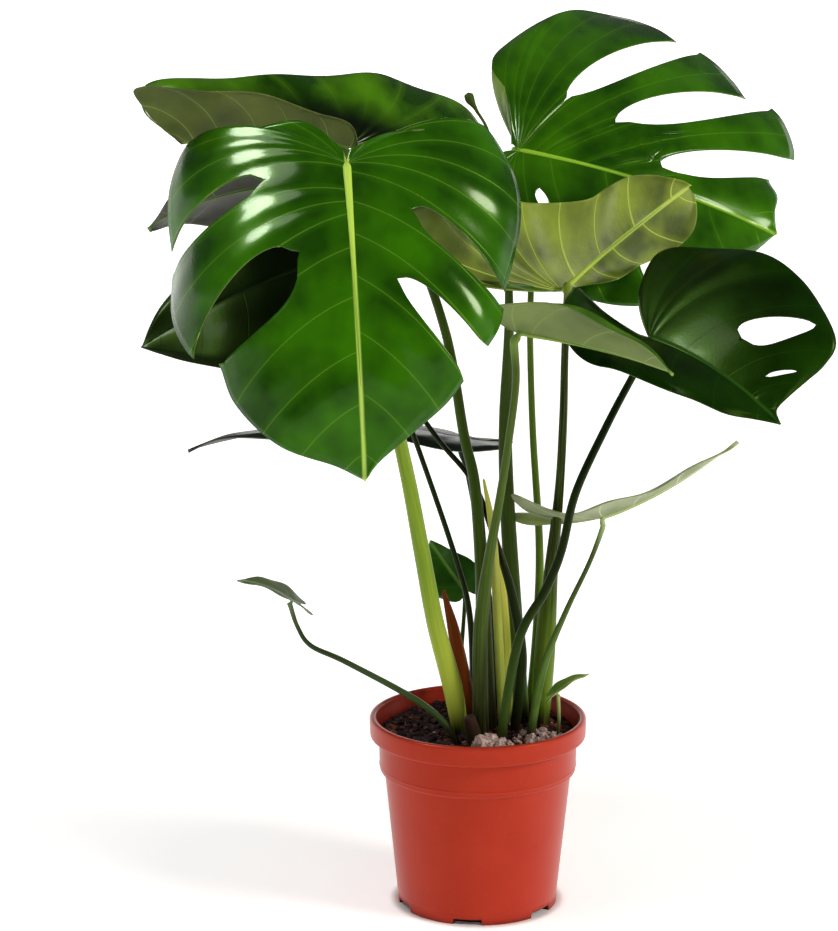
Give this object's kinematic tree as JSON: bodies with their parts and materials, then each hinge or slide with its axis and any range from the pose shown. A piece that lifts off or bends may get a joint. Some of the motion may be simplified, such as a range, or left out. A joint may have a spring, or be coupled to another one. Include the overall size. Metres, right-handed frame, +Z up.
{
  "type": "potted monstera plant",
  "caption": "Monstera with split and perforated glossy leaves on long arching stalks, growing from bark soil in a round tapered nursery pot with a rolled rim.",
  "frame": {"origin": "The middle of the pot's flat underside, on the floor.", "axes": "+Z is up, +Y points away from the side that the large front leaf hangs on, and +X is to the right as that side is faced."},
  "size_m": [0.6433, 0.5065, 0.8447],
  "materials": {
    "terracotta_plastic": "satin",
    "potting_soil": "rough",
    "leaf_blade": "gloss",
    "leaf_stalk": "satin",
    "dry_sheath": "matte",
    "pale_sheath": "satin",
    "root_skin": "matte"
  },
  "bodies": {
    "root": {"pot": "terracotta_plastic", "soil": "potting_soil", "front_leaf": "leaf_blade", "upper_right_leaf": "leaf_blade", "back_left_leaf": "leaf_blade", "centre_leaf": "leaf_blade", "right_leaf": "leaf_blade", "middle_leaf": "leaf_blade", "dark_leaf": "leaf_blade", "curled_leaf": "leaf_blade", "low_leaf": "leaf_blade", "young_leaf": "leaf_blade", "side_leaf": "leaf_blade", "seedling_leaf": "leaf_blade", "inner_leaf": "leaf_blade", "front_stalk": "leaf_stalk", "upper_right_stalk": "leaf_stalk", "back_left_stalk": "leaf_stalk", "centre_stalk": "leaf_stalk", "right_stalk": "leaf_stalk", "middle_stalk": "leaf_stalk", "dark_stalk": "leaf_stalk", "curled_stalk": "leaf_stalk", "low_stalk": "leaf_stalk", "young_stalk": "leaf_stalk", "side_stalk": "leaf_stalk", "seedling_stalk": "leaf_stalk", "inner_stalk": "leaf_stalk", "dried_sheath": "dry_sheath", "pale_sheath": "pale_sheath", "bud_sheath": "pale_sheath", "aerial_root": "root_skin", "new_leaf": "leaf_stalk"}
  },
  "joints": []
}
